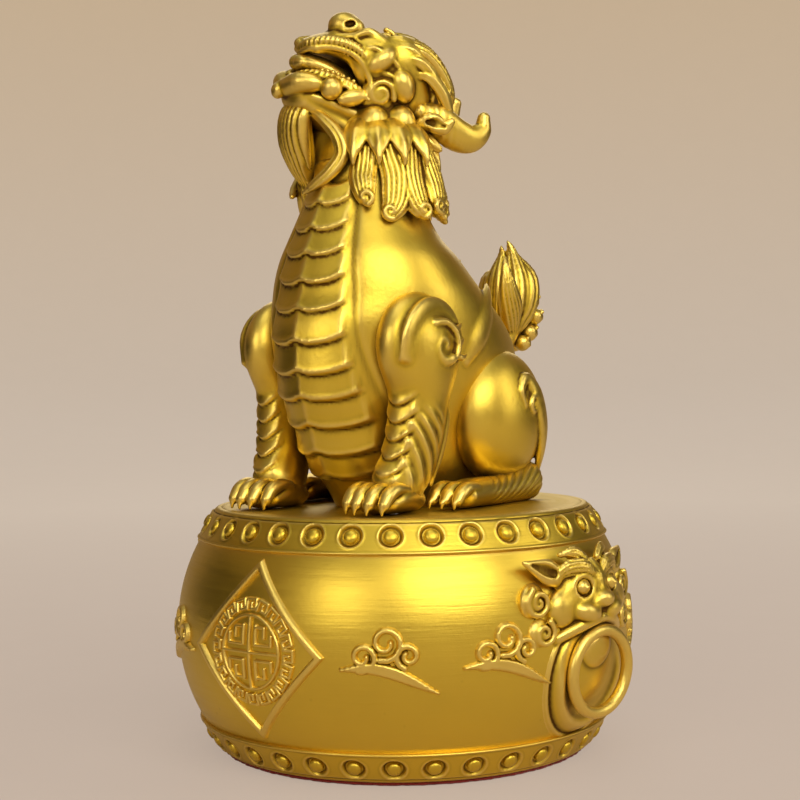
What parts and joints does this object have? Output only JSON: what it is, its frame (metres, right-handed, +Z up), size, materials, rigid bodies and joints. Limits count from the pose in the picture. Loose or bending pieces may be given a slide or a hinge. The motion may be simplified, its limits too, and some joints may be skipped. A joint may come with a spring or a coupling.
{
  "type": "foo dog statue",
  "caption": "Gold-coloured cast brass foo dog seated upright with its head thrown back, on a studded barrel drum with fret medallions, cloud scrolls and lion-mask ring handles.",
  "frame": {"origin": "on the drum's axis, at the underside of the felt, where the statue stands on its shelf", "axes": "+Z is up along the drum's axis; the figure sits facing -Y, so +X is the figure's own left"},
  "size_m": [0.1308, 0.1257, 0.1921],
  "materials": {
    "figure_brass": "satin cast brass with brown patina in the recesses",
    "drum_brass": "satin brass, brushed around the drum",
    "felt": "short red felt",
    "steel": "plain steel screws"
  },
  "bodies": {
    "root": {"base_plate": "drum_brass", "beard": "figure_brass", "body": "figure_brass", "chest_plates": "figure_brass", "cloud_motifs": "drum_brass", "crest": "figure_brass", "diamond_back": "drum_brass", "diamond_front": "drum_brass", "drum_shell": "drum_brass", "drum_studs_lower": "drum_brass", "drum_studs_upper": "drum_brass", "ear_left": "figure_brass", "ear_right": "figure_brass", "eyes": "figure_brass", "felt_pad": "felt", "fixing_screws": "steel", "foreleg_left": "figure_brass", "foreleg_right": "figure_brass", "forepaw_left": "figure_brass", "forepaw_right": "figure_brass", "haunch_left": "figure_brass", "haunch_right": "figure_brass", "head": "figure_brass", "hindpaw_left": "figure_brass", "hindpaw_right": "figure_brass", "horn_left": "figure_brass", "horn_right": "figure_brass", "lion_mask_left": "drum_brass", "lion_mask_right": "drum_brass", "lower_jaw": "figure_brass", "mane_back": "figure_brass", "mane_left": "figure_brass", "mane_right": "figure_brass", "medallion_back": "drum_brass", "medallion_front": "drum_brass", "ring_left": "drum_brass", "ring_right": "drum_brass", "tail": "figure_brass", "teeth_lower": "figure_brass", "teeth_upper": "figure_brass", "tongue": "figure_brass"}
  },
  "joints": []
}
